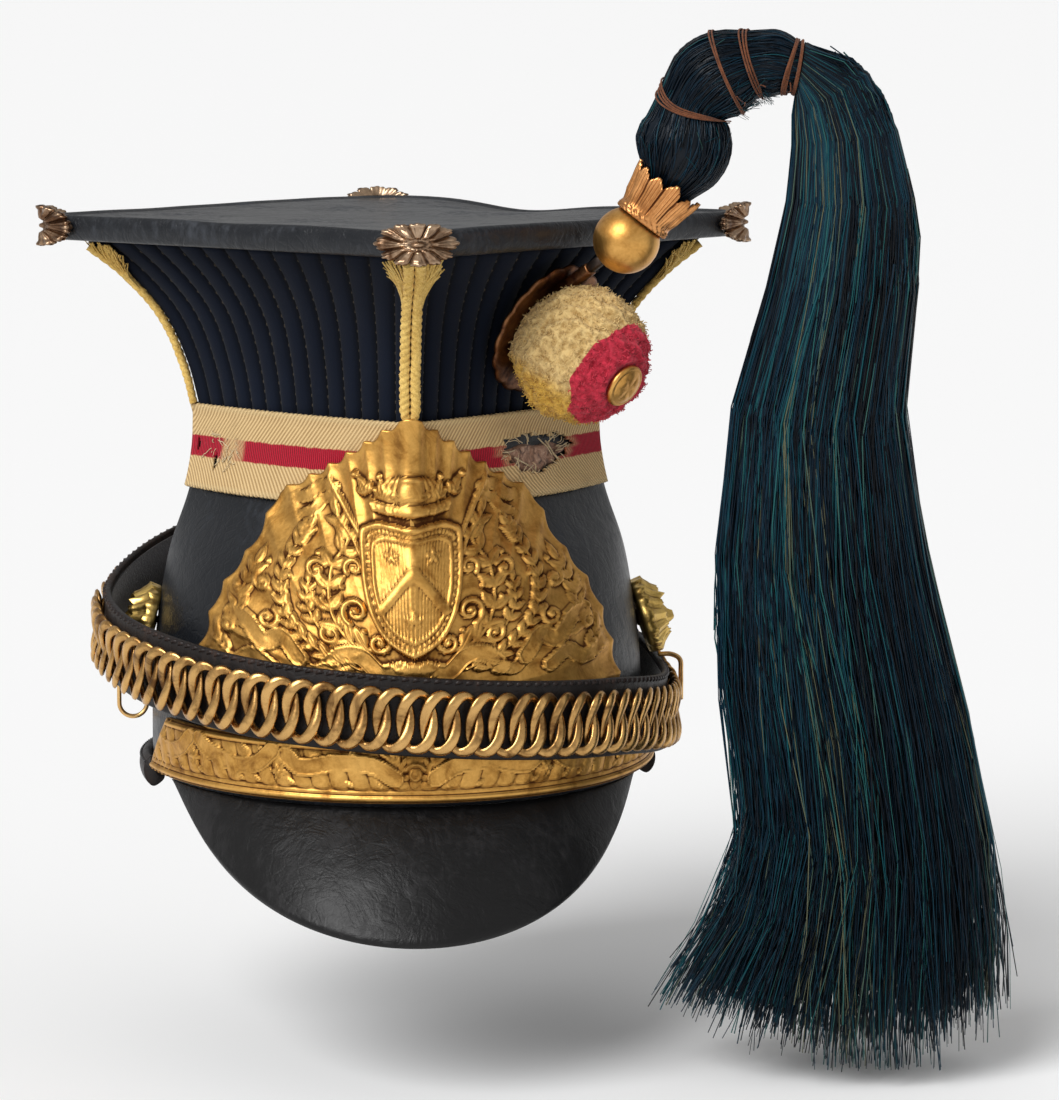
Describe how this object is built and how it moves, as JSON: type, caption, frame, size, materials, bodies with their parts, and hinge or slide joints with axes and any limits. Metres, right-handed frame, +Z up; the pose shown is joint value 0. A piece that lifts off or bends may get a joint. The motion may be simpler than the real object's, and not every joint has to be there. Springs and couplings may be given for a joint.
{
  "type": "lance cap",
  "caption": "Square-topped leather cap with quilted upper, lace band, rayed gilt plate, chin chain, woollen pompom and hanging horsehair plume",
  "frame": {"origin": "middle of the skull's base opening, where the wearer's head enters", "axes": "-Y to the front, where the peak and plate are; +X to the right seen from the front; +Z up"},
  "size_m": [0.337, 0.2565, 0.3539],
  "materials": {
    "skull_leather": "aged black leather, crackled and scuffed",
    "rim_leather": "rolled black leather edge",
    "peak_leather": "glossier black leather with creases",
    "quilted_cloth": "quilted navy-black cloth",
    "board_leather": "worn black leather with a grey sheen",
    "waist_lace": "cream twill lace with a red stripe",
    "worn_lining": "crumpled tan lining",
    "plate_gilt": "gilt brass, dark in its hollows",
    "strap_leather": "black leather with a sewn edge",
    "chain_brass": "brass and copper links, rubbed bright",
    "boss_brass": "cast yellow brass",
    "hook_brass": "brass wire",
    "ring_brass": "dull brass wire",
    "pompom_wool": "cream wool with a crimson zone",
    "button_brass": "domed brass",
    "backing_brass": "brass sheet",
    "stem_iron": "dark iron",
    "ball_brass": "satin brass",
    "cup_copper": "copper gilt",
    "plume_hair": "dark blue-green horsehair",
    "corner_cord": "fuzzy ochre cord",
    "ornament_brass": "tarnished brass",
    "binding_thread": "brown thread"
  },
  "bodies": {
    "root": {"skull": "skull_leather", "rim_roll": "rim_leather", "peak": "peak_leather", "quilted_upper": "quilted_cloth", "board": "board_leather", "waist_lace": "waist_lace", "worn_lining": "worn_lining", "front_plate": "plate_gilt", "chin_strap": "strap_leather", "chin_chain": "chain_brass", "boss_right": "boss_brass", "boss_left": "boss_brass", "chain_hook": "hook_brass", "ring_eye": "ring_brass", "hook_ring": "ring_brass", "pompom": "pompom_wool", "pompom_button": "button_brass", "pompom_backing": "backing_brass", "plume_stem": "stem_iron", "plume_ball": "ball_brass", "plume_cup": "cup_copper", "plume_head": "plume_hair", "plume_tail": "plume_hair", "corner_cord_front": "corner_cord", "corner_ornament_front": "ornament_brass", "corner_cord_right": "corner_cord", "corner_ornament_right": "ornament_brass", "corner_cord_rear": "corner_cord", "corner_ornament_rear": "ornament_brass", "corner_cord_left": "corner_cord", "corner_ornament_left": "ornament_brass", "plume_binding_1": "binding_thread", "plume_binding_2": "binding_thread", "plume_binding_3": "binding_thread", "plume_binding_4": "binding_thread"}
  },
  "joints": []
}
